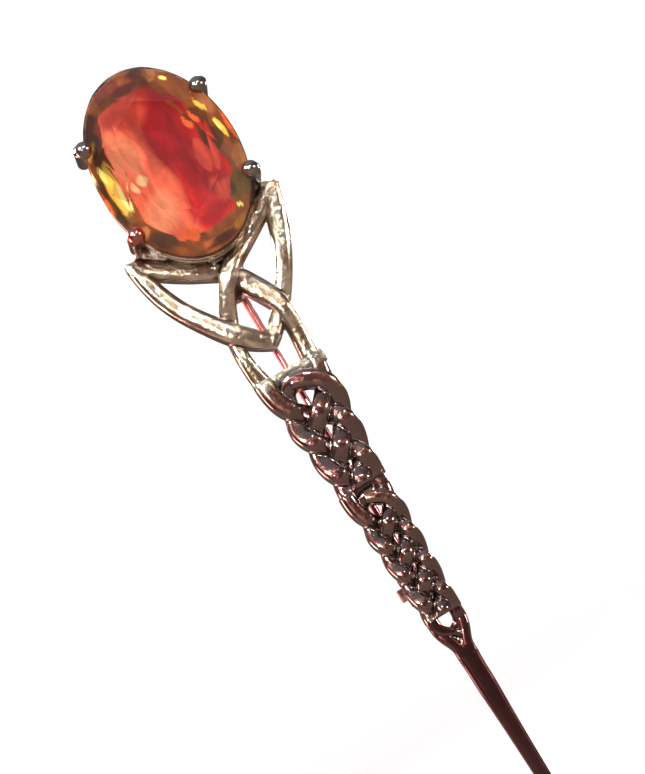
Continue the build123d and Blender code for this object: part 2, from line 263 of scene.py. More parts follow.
def bar_mesh(reach, top, bottom, height):
    """A low bar across the back that ties strands together where two castings meet."""
    outline = [(-reach, top), (reach, top), (reach, bottom), (-reach, bottom)]
    return slab_mesh("bar", outline, BACK, BACK - height)


def loose(mesh):
    piece = bpy.data.objects.new(mesh.name, mesh)
    bpy.context.collection.objects.link(piece)
    return piece


def evaluated(piece, name):
    """The piece's mesh with its modifiers applied; the piece itself is removed."""
    graph = bpy.context.evaluated_depsgraph_get()
    mesh = bpy.data.meshes.new_from_object(piece.evaluated_get(graph))
    mesh.name = name
    bpy.data.objects.remove(piece)
    return mesh


def melt(name, meshes, voxel, smoothing):
    """Several closed meshes melted into one skin, as metal runs together in a mould."""
    joined = bmesh.new()
    for mesh in meshes:
        joined.from_mesh(mesh)
    bmesh.ops.recalc_face_normals(joined, faces=joined.faces)
    whole = bpy.data.meshes.new(name)
    joined.to_mesh(whole)
    joined.free()
    piece = loose(whole)
    remesh = piece.modifiers.new("Melt", "REMESH")
    remesh.mode = "VOXEL"
    remesh.voxel_size = voxel
    remesh.use_smooth_shade = True
    relax = piece.modifiers.new("Relax", "SMOOTH")
    relax.factor = 0.5
    relax.iterations = smoothing
    return evaluated(piece, name)


def trim(mesh, top=None, bottom=None):
    """Cuts a mesh square at two heights and closes the ends."""
    work = bmesh.new()
    work.from_mesh(mesh)
    for height, up in ((top, 1), (bottom, -1)):
        if height is None:
            continue
        geometry = work.verts[:] + work.edges[:] + work.faces[:]
        cut = bmesh.ops.bisect_plane(
            work, geom=geometry, plane_co=(0, 0, height), plane_no=(0, 0, up), clear_outer=True)
        rim = [item for item in cut["geom_cut"] if isinstance(item, bmesh.types.BMEdge)]
        bmesh.ops.triangle_fill(work, edges=rim, use_beauty=True)
    work.to_mesh(mesh)
    work.free()
    return mesh


def mark_hollows(mesh, rounds=14, reach=0.05):
    """Stores how far each point lies in a hollow, 0 on ridges and 1 in hollows."""
    count = len(mesh.vertices)
    places = np.empty(count * 3)
    mesh.vertices.foreach_get("co", places)
    places = places.reshape(-1, 3)
    normals = np.empty(count * 3)
    mesh.vertices.foreach_get("normal", normals)
    normals = normals.reshape(-1, 3)
    pairs = np.empty(len(mesh.edges) * 2, int)
    mesh.edges.foreach_get("vertices", pairs)
    pairs = pairs.reshape(-1, 2)
    degree = np.bincount(pairs.ravel(), minlength=count).clip(1)[:, None]
    eased = places.copy()
    for _ in range(rounds):
        total = np.zeros_like(eased)
        for axis in range(3):
            total[:, axis] = (np.bincount(pairs[:, 0], eased[pairs[:, 1], axis], count)
                              + np.bincount(pairs[:, 1], eased[pairs[:, 0], axis], count))
        eased = total / degree
    depth = ((eased - places) * normals).sum(axis=1)
    hollow = np.clip(0.5 + depth / (2 * reach), 0, 1)
    attribute = mesh.attributes.new("hollow", "FLOAT", "POINT")
    attribute.data.foreach_set("value", hollow)


def finish_piece(mesh, material, body, nodes, smooth=True):
    """Scales a mesh to metres and makes it a piece that rides on a body."""
    mesh.transform(Matrix.Scale(MM, 4))
    mesh.materials.clear()
    mesh.materials.append(material)
    mesh.shade_smooth() if smooth else mesh.shade_flat()
    piece = loose(mesh)
    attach(piece, body)
    if nodes:
        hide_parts(*nodes)
    return piece


def softened(node, name, voxel, smoothing):
    """A copy of a node's mesh with the edges rounded as by polishing."""
    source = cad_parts[node].data.copy()
    source.transform(Matrix.Scale(1 / MM, 4))
    return melt(name, [source], voxel, smoothing)


# ---------------------------------------------------------------- shading

def add_node(tree, kind, place, **values):
    node = tree.nodes.new(kind)
    node.location = place
    for key, value in values.items():
        if key in node.inputs:
            node.inputs[key].default_value = value
        else:
            setattr(node, key, value)
    return node


def cast_skin_group():
    """Ripples and pits of a cast and polished surface."""
    if "Cast skin" in bpy.data.node_groups:
        return bpy.data.node_groups["Cast skin"]
    group = bpy.data.node_groups.new("Cast skin", "ShaderNodeTree")
    face = group.interface
    grain = face.new_socket("Grain", in_out="INPUT", socket_type="NodeSocketFloat")
    grain.default_value = 0.5
    face.new_socket("Height", in_out="OUTPUT", socket_type="NodeSocketFloat")
    face.new_socket("Blotches", in_out="OUTPUT", socket_type="NodeSocketFloat")
    start = add_node(group, "NodeGroupInput", (-900, 0))
    end = add_node(group, "NodeGroupOutput", (600, 0))
    place = add_node(group, "ShaderNodeTexCoord", (-900, 200))
    per_metre = add_node(group, "ShaderNodeMath", (-700, 0), operation="DIVIDE")
    per_metre.inputs[0].default_value = 1000
    group.links.new(start.outputs["Grain"], per_metre.inputs[1])
    ripple = add_node(group, "ShaderNodeTexNoise", (-450, 200), Detail=4.0, Roughness=0.55)
    pits = add_node(group, "ShaderNodeTexNoise", (-450, -100), Scale=5200.0, Detail=3.0, Roughness=0.6)
    cloud = add_node(group, "ShaderNodeTexNoise", (-450, -400), Scale=700.0, Detail=3.0, Roughness=0.5)
    for texture in (ripple, pits, cloud):
        group.links.new(place.outputs["Object"], texture.inputs["Vector"])
    group.links.new(per_metre.outputs[0], ripple.inputs["Scale"])
    blend = add_node(group, "ShaderNodeMath", (-150, 100), operation="MULTIPLY_ADD")
    blend.inputs[1].default_value = 0.18
    group.links.new(pits.outputs["Fac"], blend.inputs[0])
    group.links.new(ripple.outputs["Fac"], blend.inputs[2])
    group.links.new(blend.outputs[0], end.inputs["Height"])
    spread = add_node(group, "ShaderNodeMapRange", (-150, -400))
    spread.inputs["From Min"].default_value = 0.35
    spread.inputs["From Max"].default_value = 0.65
    group.links.new(cloud.outputs["Fac"], spread.inputs["Value"])
    group.links.new(spread.outputs["Result"], end.inputs["Blotches"])
    return group


def shade_and_tarnish_group():
    """Painted shade in hollows and on walls, and cloudy tarnish in patches."""
    if "Shade and tarnish" in bpy.data.node_groups:
        return bpy.data.node_groups["Shade and tarnish"]
    group = bpy.data.node_groups.new("Shade and tarnish", "ShaderNodeTree")
    face = group.interface
    for name in ("Wall shade", "Patch", "Blotches"):
        face.new_socket(name, in_out="INPUT", socket_type="NodeSocketFloat")
    face.new_socket("Dark", in_out="OUTPUT", socket_type="NodeSocketFloat")
    start = add_node(group, "NodeGroupInput", (-900, 0))
    end = add_node(group, "NodeGroupOutput", (200, 0))
    # painted shade in hollows; ridges keep the face colour
    depth = add_node(group, "ShaderNodeAttribute", (-900, 300), attribute_name="hollow")
    hollow_shade = add_node(group, "ShaderNodeMapRange", (-650, 300))
    hollow_shade.inputs["From Min"].default_value = 0.42
    hollow_shade.inputs["From Max"].default_value = 0.8
    group.links.new(depth.outputs["Fac"], hollow_shade.inputs["Value"])
    # painted shade on walls: walls face sideways, faces look forwards
    place = add_node(group, "ShaderNodeTexCoord", (-1100, 600))
    split = add_node(group, "ShaderNodeSeparateXYZ", (-900, 600))
    side = add_node(group, "ShaderNodeMapRange", (-650, 600))
    side.inputs["From Min"].default_value = -0.75
    side.inputs["From Max"].default_value = -0.1
    group.links.new(place.outputs["Normal"], split.inputs[0])
    group.links.new(split.outputs["Y"], side.inputs["Value"])
    group.links.new(start.outputs["Wall shade"], side.inputs["To Max"])
    dark = add_node(group, "ShaderNodeMath", (-450, 450), operation="MAXIMUM")
    group.links.new(hollow_shade.outputs["Result"], dark.inputs[0])
    group.links.new(side.outputs["Result"], dark.inputs[1])
    both = add_node(group, "ShaderNodeMath", (-200, 0), operation="MULTIPLY_ADD", use_clamp=True)
    group.links.new(start.outputs["Patch"], both.inputs[0])
    group.links.new(start.outputs["Blotches"], both.inputs[1])
    group.links.new(dark.outputs[0], both.inputs[2])
    group.links.new(both.outputs[0], end.inputs["Dark"])
    return group


def metal(name, face, hollow, roughness, grain, bump,
          patch=0.35, wall=0.6, gloss=0.0, uneven=0.14, tarnish=None, fade=None):
    """Silver: bright in the face colour on ridges and faces, dark in the hollow colour on walls and in
    hollows, which is painted shade.
    """
    material = bpy.data.materials.new(name)
    material.use_nodes = True
    tree = material.node_tree
    shader = tree.nodes["Principled BSDF"]
    shader.inputs["Metallic"].default_value = 1.0
    shader.inputs["Coat Weight"].default_value = gloss
    shader.inputs["Coat Roughness"].default_value = 0.08
    shader.inputs["Coat IOR"].default_value = 2.2
    skin = add_node(tree, "ShaderNodeGroup", (-900, -200), node_tree=cast_skin_group())
    skin.inputs["Grain"].default_value = grain
    shade_and_tarnish = add_node(tree, "ShaderNodeGroup", (-600, 100), node_tree=shade_and_tarnish_group())
    # wall sets the strength of the painted shade on walls
    shade_and_tarnish.inputs["Wall shade"].default_value = wall
    shade_and_tarnish.inputs["Patch"].default_value = patch
    tree.links.new(skin.outputs["Blotches"], shade_and_tarnish.inputs["Blotches"])
    colour = add_node(tree, "ShaderNodeMix", (-50, 300), data_type="RGBA")
    colour.inputs[6].default_value = (*face, 1)
    colour.inputs[7].default_value = (*hollow, 1)
    tree.links.new(shade_and_tarnish.outputs["Dark"], colour.inputs[0])
    tree.links.new(colour.outputs[2], shader.inputs["Base Color"])
    if tarnish:
        cloudy = add_node(tree, "ShaderNodeMix", (-450, 600), data_type="RGBA")
        cloudy.inputs[6].default_value = (*face, 1)
        cloudy.inputs[7].default_value = (*tarnish, 1)
        tree.links.new(skin.outputs["Blotches"], cloudy.inputs[0])
        tree.links.new(cloudy.outputs[2], colour.inputs[6])
    # the face colour fades by height into a pale one; on the plait this ends its painted reflection near
    # the top
    if fade:
        start, end, pale = fade
        place = add_node(tree, "ShaderNodeTexCoord", (-1100, 800))
        height = add_node(tree, "ShaderNodeSeparateXYZ", (-900, 800))
        tree.links.new(place.outputs["Object"], height.inputs[0])
        share = add_node(tree, "ShaderNodeMapRange", (-650, 800))
        share.inputs["From Min"].default_value = end * MM
        share.inputs["From Max"].default_value = start * MM
        tree.links.new(height.outputs["Z"], share.inputs["Value"])
        height_fade = add_node(tree, "ShaderNodeMix", (-250, 600), data_type="RGBA")
        height_fade.inputs[6].default_value = (*face, 1)
        height_fade.inputs[7].default_value = (*pale, 1)
        tree.links.new(share.outputs["Result"], height_fade.inputs[0])
        if tarnish:
            tree.links.new(cloudy.outputs[2], height_fade.inputs[6])
        tree.links.new(height_fade.outputs[2], colour.inputs[6])
    rough = add_node(tree, "ShaderNodeMapRange", (-250, 0))
    rough.inputs["To Min"].default_value = roughness
    rough.inputs["To Max"].default_value = roughness + uneven
    tree.links.new(skin.outputs["Blotches"], rough.inputs["Value"])
    tree.links.new(rough.outputs["Result"], shader.inputs["Roughness"])
    relief = add_node(tree, "ShaderNodeBump", (-250, -300), Strength=bump, Distance=0.00012)
    tree.links.new(skin.outputs["Height"], relief.inputs["Height"])
    tree.links.new(relief.outputs["Normal"], shader.inputs["Normal"])
    return material


def glass_material(settings):
    material = bpy.data.materials.new("Stone glass")
    material.use_nodes = True
    shader = material.node_tree.nodes["Principled BSDF"]
    shader.inputs["Base Color"].default_value = (*settings.glass, 1)
    shader.inputs["Roughness"].default_value = 0.0
    shader.inputs["IOR"].default_value = 1.55
    shader.inputs["Transmission Weight"].default_value = 1.0
    return material


def heart_material(name):
    """Colour of the stone's inside with the painted view through it, painted flashes and shade, laid
    facet by facet with a soft mottling.
    """
    material = bpy.data.materials.new(name)
    material.use_nodes = True
    tree = material.node_tree
    shader = tree.nodes["Principled BSDF"]
    shade = add_node(tree, "ShaderNodeAttribute", (-700, 200), attribute_name="shade")
    place = add_node(tree, "ShaderNodeTexCoord", (-900, -100))
    stretch = add_node(tree, "ShaderNodeVectorMath", (-800, -100), operation="MULTIPLY")
    stretch.inputs[1].default_value = (1.0, 1.0, 0.3)
    tree.links.new(place.outputs["Object"], stretch.inputs[0])
    cloud = add_node(tree, "ShaderNodeTexNoise", (-700, -100), Scale=700.0, Detail=5.0,
                     Roughness=0.6, Distortion=0.6)
    tree.links.new(stretch.outputs[0], cloud.inputs["Vector"])
    level = add_node(tree, "ShaderNodeMapRange", (-450, -100))
    level.inputs["From Min"].default_value = 0.3
    level.inputs["From Max"].default_value = 0.7
    level.inputs["To Min"].default_value = 0.2
    level.inputs["To Max"].default_value = 0.52
    tree.links.new(cloud.outputs["Fac"], level.inputs["Value"])
    colour = add_node(tree, "ShaderNodeVectorMath", (-200, 200), operation="SCALE")
    tree.links.new(shade.outputs["Color"], colour.inputs[0])
    tree.links.new(level.outputs["Result"], colour.inputs["Scale"])
    tree.links.new(colour.outputs[0], shader.inputs["Base Color"])
    shader.inputs["Roughness"].default_value = 0.65
    shader.inputs["Specular IOR Level"].default_value = 0.1
    return material


# ---------------------------------------------------------------- stone

# Depth of the coloured inside below the girdle, in millimetres, against its share of the radius
HEART_PROFILE = ((1.0, 0.0), (0.94, 0.2), (0.80, 0.75), (0.60, 1.5), (0.35, 2.1), (0.0, 2.35))
HEART_RINGS = 56
HEART_SPOKES = 176
HEART_REACH = 0.96
HEART_WALL = 0.08
FACET_SPOKES = 16
# Half width and half length over which the back facets are spread, and where their rings meet
FACET_SPAN = (6.5, 9)
FACET_RING, FACET_ZIGZAG, FACET_EDGE = 0.62, 0.16, 0.84
EMBER, TAWNY, OLIVE = tint(92, 34, 18), tint(168, 100, 58), tint(86, 66, 30)
STRAW, AMBER, BLAZE = tint(255, 240, 130), tint(246, 196, 80), tint(236, 100, 44)
WINE, BRICK, PEACH = tint(146, 8, 20), tint(190, 62, 46), tint(240, 142, 104)
# Flashes and shadows inside the stone: centre, half sizes, tilt in degrees, colour, softness
FLASHES = (
    (-3.9, 5.6, 1.5, 1.9, 30, EMBER, 0.35), (-1.2, 8.0, 1.3, 0.7, 0, tint(146, 66, 42), 0.4),
    (0.1, 7.1, 1.3, 0.6, 0, EMBER, 0.3), (1.6, 8.1, 0.9, 0.6, -10, EMBER, 0.3),
    (2.6, 7.7, 0.45, 1.1, -20, TAWNY, 0.15), (3.2, 6.6, 0.4, 0.25, -40, STRAW, 0.2),
    (4.3, 5.2, 1.3, 1.3, -35, tint(124, 66, 26), 0.4), (5.3, 3.0, 0.8, 1.2, -10, tint(150, 92, 60), 0.4),
    (4.5, 2.9, 0.25, 0.7, 15, AMBER, 0.2), (5.1, 0.4, 0.36, 1.1, 12, AMBER, 0.12),
    (4.85, 0.8, 0.12, 0.6, 12, STRAW, 0.3), (6.2, 0.2, 0.36, 1.6, 0, BLAZE, 0.2),
    (4.3, -1.5, 0.8, 1.7, 8, tint(120, 70, 42), 0.4), (5.4, -2.6, 0.8, 1.3, -20, tint(148, 96, 56), 0.4),
    (4.1, -4.6, 1.3, 1.3, 35, OLIVE, 0.3), (3.2, -6.2, 0.45, 0.14, -35, STRAW, 0.3),
    (0.7, -8.0, 1.9, 0.5, 3, tint(64, 22, 8), 0.3), (2.6, -7.5, 0.8, 0.5, 30, tint(142, 92, 30), 0.4),
    (-1.8, -7.4, 1.6, 0.7, -15, tint(138, 72, 32), 0.4),
    (-3.5, -5.5, 1.3, 1.0, -40, tint(82, 50, 30), 0.25),
    (-4.5, -4.2, 0.35, 0.8, -35, tint(190, 120, 70), 0.3),
    (-5.2, -2.4, 0.7, 1.0, -15, tint(120, 84, 52), 0.4),
    (-4.5, 0.3, 0.85, 2.5, -6, AMBER, 0.16), (-4.9, 1.8, 0.34, 0.8, -4, STRAW, 0.2),
    (-4.1, -0.6, 0.3, 1.4, -8, tint(255, 236, 160), 0.3), (-5.5, -0.9, 0.2, 1.5, 4, OLIVE, 0.3),
    (-6.3, -0.6, 0.35, 1.4, -3, BLAZE, 0.25), (-6.1, 2.0, 0.25, 0.8, 8, tint(255, 236, 180), 0.25),
    (-4.9, 4.0, 0.9, 0.35, 40, AMBER, 0.4))
# The middle of the stone, where the view through it is painted, drawn over them
HEART_OUTLINE = (
    (-2.8, 6.3), (-1.3, 6.6), (0.2, 6.4), (1.9, 6.5), (2.4, 5.0), (3.1, 4.0), (3.3, 2.6),
    (3.8, 1.8), (3.6, 0.4), (3.8, -1.2), (4.1, -2.7), (3.4, -3.5), (2.6, -4.9), (2.7, -6.2),
    (0.9, -6.4), (-0.8, -6.3), (-1.2, -7.0), (-2.3, -6.3), (-2.4, -5.4), (-3.2, -4.5),
    (-3.9, -3.3), (-3.7, -1.5), (-3.55, 0.6), (-3.7, 3.4), (-3.1, 4.6))
# Painted flashes and painted shade over the middle of the stone: centre, half sizes, tilt in degrees,
# colour, softness
HEART_FLASHES = (
    (1.2, 2.6, 2.0, 4.2, 6, WINE, 0.7), (1.9, -2.2, 1.3, 2.0, 20, WINE, 0.6),
    (-0.9, 5.4, 1.8, 1.4, 0, BRICK, 0.7), (3.0, -0.9, 0.65, 1.7, -5, BRICK, 0.15),
    (3.5, 2.5, 0.5, 0.9, -5, BLAZE, 0.2), (2.9, -4.2, 1.0, 1.2, 30, BRICK, 0.5),
    (-2.6, 2.4, 1.0, 2.0, 0, PEACH, 0.9), (-2.7, -0.2, 0.5, 0.55, 0, tint(250, 200, 150), 0.5),
    (-2.4, -3.4, 1.2, 1.8, -20, PEACH, 0.9), (-1.3, -6.1, 0.7, 0.8, 0, BLAZE, 0.4),
    (1.0, -5.4, 1.2, 0.9, 0, WINE, 0.8))


def covered(flash, x, z):
    """How strongly a flash covers a place, from 0 to 1."""
    centre_x, centre_z, half_x, half_z, tilt, _, softness = flash
    turn = math.radians(tilt)
    right = ((x - centre_x) * math.cos(turn) + (z - centre_z) * math.sin(turn)) / half_x
    up = ((z - centre_z) * math.cos(turn) - (x - centre_x) * math.sin(turn)) / half_z
    depth = (1 - (abs(right) ** 1.6 + abs(up) ** 1.6) ** (1 / 1.6)) / softness
    share = min(max(depth + 0.5, 0), 1)
    return share * share * (3 - 2 * share)


def inside_outline(outline, x, z):
    """Whether a place lies inside a closed outline."""
    inside = False
    for (x0, z0), (x1, z1) in zip(outline, outline[1:] + outline[:1]):
        if (z0 > z) != (z1 > z) and x < (x1 - x0) * (z - z0) / (z1 - z0) + x0:
            inside = not inside
    return inside


def heart_colour(settings, x, z, draws):
    """Colour of the stone's inside at a place measured from its centre, with the painted view through
    its middle and painted flashes, shade and facet glints.
    """
    glow = 0.5 + 1.3 * facet_glow(x, z, draws)
    if inside_outline(HEART_OUTLINE, x, z):
        glow = 0.8 + 0.2 * glow
        side = min(max((x + 0.25 + 0.25 * math.sin(z * 0.9)) / 0.5 + 0.5, 0), 1)
        colour = np.array(settings.coral) * (1 - side) + np.array(settings.crimson) * side
        flashes = HEART_FLASHES
    else:
        colour = np.array(settings.rim)
        flashes = FLASHES
    for flash in flashes:
        cover = covered(flash, x, z)
        colour = colour * (1 - cover) + np.array(flash[5]) * cover
    return colour * glow


def facet_glow(x, z, draws):
    """Painted brightness of the back facet behind a place, as its glint; the facets run in two zigzag
    rings.
    """
    across, along = x / FACET_SPAN[0], z / FACET_SPAN[1]
    turn = math.atan2(along, across) / (2 * math.pi) * FACET_SPOKES
    reach = math.hypot(across, along)
    zigzag = abs((turn % 1) * 2 - 1)
    ring = 0 if reach > FACET_RING + FACET_ZIGZAG * zigzag else 1
    column = int(turn // 1) if ring == 0 else int((turn + 0.5) // 1)
    half = int((turn % 1) * 2) if reach > FACET_EDGE else 0
    return draws[ring * 2 + half, column % FACET_SPOKES]


def build_heart(settings):
    """A thin bowl just inside the stone's back facets, carrying the stone's colour and the painted view,
    flashes and shade seen in it.
    """
    centre = (STONE_LOW + STONE_HIGH) / 2
    half_x, half_z = STONE_HIGH.x - centre.x, STONE_HIGH.z - centre.z
    girdle = STONE_LOW.y + (STONE_HIGH.y - STONE_LOW.y) * settings.crown_share
    shares, depths = zip(*HEART_PROFILE[::-1])
    corners, faces = [], []
    for wall in (0.0, HEART_WALL):
        for ring in range(HEART_RINGS):
            share = HEART_REACH * (1 - ring / HEART_RINGS)
            for spoke in range(HEART_SPOKES):
                angle = 2 * math.pi * spoke / HEART_SPOKES
                corners.append((
                    centre.x + half_x * share * math.cos(angle),
                    girdle + float(np.interp(share, shares, depths)) + wall,
                    centre.z + half_z * share * math.sin(angle)))
        corners.append((centre.x, girdle + depths[0] + wall, centre.z))
    per_wall = HEART_RINGS * HEART_SPOKES + 1
    for base in (0, per_wall):
        for ring in range(HEART_RINGS - 1):
            for spoke in range(HEART_SPOKES):
                a = base + ring * HEART_SPOKES + spoke
                b = base + ring * HEART_SPOKES + (spoke + 1) % HEART_SPOKES
                faces.append((a, b, b + HEART_SPOKES, a + HEART_SPOKES))
        last = base + (HEART_RINGS - 1) * HEART_SPOKES
        tip = base + per_wall - 1
        for spoke in range(HEART_SPOKES):
            faces.append((last + spoke, last + (spoke + 1) % HEART_SPOKES, tip))
    for spoke in range(HEART_SPOKES):
        a, b = spoke, (spoke + 1) % HEART_SPOKES
        faces.append((a, b, b + per_wall, a + per_wall))
    mesh = mesh_from("stone_heart", corners, faces)
    work = bmesh.new()
    work.from_mesh(mesh)
    bmesh.ops.recalc_face_normals(work, faces=work.faces)
    work.to_mesh(mesh)
    work.free()
    draws = np.random.default_rng(7).random((4, FACET_SPOKES))
    shade = mesh.color_attributes.new("shade", "FLOAT_COLOR", "POINT")
    painted = []
    for x, _, z in corners[:per_wall]:
        colour = heart_colour(settings, x - centre.x, z - centre.z, draws)
        painted.append((*colour, 1))
    shade.data.foreach_set("color", np.array(painted + painted).ravel())
    return mesh


class BROOCH_OT_stone(bpy.types.Operator):
    """Builds the clear faceted stone and the bowl inside it with the painted view, flashes and shade"""
    bl_idname = "brooch.stone"
    bl_label = "Stone"

    def execute(self, context):
        settings = context.scene.brooch_stone
        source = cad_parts["gemstone"].data.copy()
        source.name = "stone_body"
        source.transform(Matrix.Scale(1 / MM, 4))
        body = finish_piece(source, glass_material(settings), ROOT, ["gemstone"], smooth=False)
        body.visible_shadow = False
        finish_piece(build_heart(settings), heart_material("Stone heart"), ROOT, [])
        return {"FINISHED"}


# ---------------------------------------------------------------- setting

class BROOCH_OT_setting(bpy.types.Operator):
    """Builds the four claws and the two rails that carry them"""
    bl_idname = "brooch.setting"
    bl_label = "Claws and rails"

    def execute(self, context):
        settings = context.scene.brooch_metal
        # The claws' dark colours are painted shade on walls and in hollows; the lower left claw's pink
        # colour is a painted pink reflection
        steel = metal("Claw silver", tint(160, 156, 152), tint(56, 46, 42), 0.1, 0.5, 0.25, wall=0.2)
        pink_reflection = metal("Claw rose", tint(196, 128, 118), tint(88, 38, 36), 0.12, 0.5, 0.25, wall=0.2)
        for node, finish in (("claw_upper_left", steel), ("claw_upper_right", steel),
                             ("claw_lower_left", pink_reflection), ("claw_lower_right", steel)):
            mesh = softened(node, node + "_piece", 0.05, 6)
            mark_hollows(mesh)
            finish_piece(mesh, finish, ROOT, [node])
        # the rails' dark colour is painted shade on walls and in hollows
        rail_metal = metal("Rail silver", settings.silver, settings.umber_shade, 0.2, 0.6, 0.3)
        for node in ("gallery_rail_upper", "gallery_rail_lower"):
            mesh = softened(node, node + "_piece", 0.07, 8)
            mark_hollows(mesh)
            finish_piece(mesh, rail_metal, ROOT, [node])
        return {"FINISHED"}


# ---------------------------------------------------------------- knotwork

# Crest heights of a strand that passes over and of one that lies alone
OVER, MID = CREST, 1.75
# How far the rounded crest reaches down a strand's walls, in the castings and in the blade
DOME, BLADE_DOME = 0.6, 0.4
# Share of a plait's half width at which its outer strands cross, and where its ends lie
CROSSING_SHARE = 0.75
END_SHARES = (-1, -0.4, 0.4, 1)
# Outlines of the metal between the knot's arms and the two lower claws
CLAW_FEET = (
    [(-7.1, 4.6), (-6.3, 5.8), (-5.2, 5.8), (-3.0, 3.0), (-3.0, 2.0), (-5.0, 3.0)],
    [(7.1, 4.8), (6.3, 5.8), (5.2, 5.8), (3.0, 3.0), (3.0, 2.2), (5.0, 3.2)])
# Outlines of the metal that fills the three points of the knot
KNOT_TIPS = (
    [(-7.8, 5.15), (-6.7, 5.0), (-5.9, 3.9), (-6.2, 3.2), (-7.4, 3.2), (-7.78, 4.4)],
    [(7.55, 5.15), (7.2, 5.4), (6.2, 5.2), (5.6, 4.0), (5.9, 3.2), (7.1, 3.2), (7.5, 4.4)],
    [(-0.25, -8.0), (-1.1, -7.5), (-0.8, -6.6), (0.5, -6.6), (0.85, -7.3)])


def knot_strands(under):
    """The four strands of the knot as x, z, crest height and width."""
    inner_left = [
        (-7.15, 4.6, MID, 1.5), (-5.0, 3.0, MID, 1.75), (-3.0, 1.7, MID, 1.75),
        (-1.4, 0.8, 1.5, 1.7), (-0.15, -0.1, under, 1.75), (0.55, -1.2, 1.5, 1.95),
        (1.25, -2.6, 1.9, 1.95), (1.95, -4.1, 2.2, 1.75), (2.2, -5.2, OVER, 1.6),
        (2.25, -7.5, 1.8, 1.6), (2.1, -9.5, 1.6, 1.7), (1.95, -10.9, 1.4, 1.7)]
    inner_right = [
        (7.15, 4.75, MID, 1.6), (5.0, 3.4, MID, 1.8), (3.0, 2.05, MID, 1.6),
        (1.2, 0.95, 2.1, 1.6), (-0.15, -0.1, OVER, 1.65), (-1.15, -1.3, 2.1, 1.6),
        (-1.95, -2.7, 1.6, 1.65), (-2.55, -4.2, under, 1.6), (-2.95, -6.0, 1.5, 1.35),
        (-3.05, -7.7, 1.8, 1.3), (-2.85, -9.5, 1.6, 1.6), (-2.6, -10.9, 1.4, 1.7)]
    outer_left = [
        (-7.15, 4.8, MID, 1.4), (-6.55, 1.8, MID, 1.65), (-5.55, -0.8, 1.9, 1.7),
        (-4.25, -2.95, 2.1, 1.75), (-2.75, -5.0, OVER, 1.85), (-1.5, -6.25, 2.1, 1.8),
        (-0.1, -7.3, MID, 1.45)]
    outer_right = [
        (7.2, 4.95, MID, 1.5), (6.1, 2.1, MID, 1.95), (4.95, -0.7, 1.8, 1.65), (3.7, -2.85, 1.5, 1.6),
        (2.3, -4.75, under, 1.6), (1.05, -6.05, 1.6, 1.55), (-0.3, -7.25, 1.7, 1.45)]
    return inner_left, inner_right, outer_left, outer_right


def oval(half_x, half_z, centre_z, low, high, steps):
    """Points on an oval between two angles in degrees."""
    points = []
    for step in range(steps + 1):
        angle = math.radians(low + (high - low) * step / steps)
        points.append((half_x * math.cos(angle), centre_z + half_z * math.sin(angle)))
    return points


def plait_strands(top, bottom, halves, rows, width, under, lean):
    """Strands of a four-strand plait, as x, z, crest height and width.

    A strand heading right passes over at the edges, one heading left in the middle.
    """
    top_half, bottom_half = halves
    pitch = (top - bottom - width) / rows
    arch = top - 0.78 * width
    lap = 0.45 * width

    def half(z):
        return bottom_half + (top_half - bottom_half) * (z - bottom) / (top - bottom)

    def leaning(share, z):
        return share * half(z), z - lean * (1 - share) / 2

    strands = [
        [(-top_half, top + width, 1.4, width)],
        [(lap, arch, OVER * 0.93, width), (-0.5 * width, arch - 0.1 * width, OVER * 0.9, width),
         (-0.95 * width, arch - 0.55 * width, 1.6, width * 0.95)],
        [(-lap, arch, OVER * 0.93, width)],
        [(0.76 * top_half, top + width, 1.4, width)]]
    order = [0, 1, 2, 3]
    for row in range(rows):
        z = top - width - pitch * (row + 0.5)
        if row % 2 == 0:
            swaps = ((0, -CROSSING_SHARE), (2, CROSSING_SHARE))
            heights = (OVER, under)
        else:
            swaps = ((1, 0.0),)
            heights = (under, OVER)
            strands[order[0]].append((*leaning(-1, z), MID, width))
            strands[order[3]].append((*leaning(1, z), MID, width))
        for column, share in swaps:
            for step, height in enumerate(heights):
                strands[order[column + step]].append((*leaning(share, z), height, width))
            order[column], order[column + 1] = order[column + 1], order[column]
    for column, share in enumerate(END_SHARES):
        strands[order[column]].append((share * bottom_half, bottom - width / 2, 1.5, width))
    return strands


class BROOCH_OT_knot(bpy.types.Operator):
    """Builds the knot that cups the stone"""
    bl_idname = "brooch.knot"
    bl_label = "Knot"

    def execute(self, context):
        strands = context.scene.brooch_strands
        settings = context.scene.brooch_metal
        meshes = [strand_mesh("strand", path, DOME, 2.5) for path in knot_strands(strands.under)]
        rail_low, rail_high = box_mm("gallery_rail_lower")
        centre = (rail_low.z + rail_high.z) / 2
        half_x, half_z = STONE_HIGH.x, STONE_HIGH.z - centre
        outer = oval(half_x, half_z, centre, 210, 330, 32)
        inner = oval(half_x - 1.1, half_z - 3, centre, 312, 228, 24)
        meshes.append(slab_mesh("seat", outer + inner, BACK, rail_high.y))
        meshes += [slab_mesh("tip", corner, BACK, BACK - MID * 0.93) for corner in KNOT_TIPS]
        meshes += [slab_mesh("foot", corner, BACK, rail_high.y) for corner in CLAW_FEET]
        mesh = melt("knot_casting", meshes, strands.voxel, 5)
        mesh = trim(mesh, bottom=KNOT_LOW.z)
        mark_hollows(mesh)
        finish = metal("Knot silver", settings.silver, settings.umber_shade, 0.1, settings.grain, 0.8,
                       gloss=0.7, tarnish=settings.brown)
        finish_piece(mesh, finish, ROOT, ["trinity_knot"])
        return {"FINISHED"}


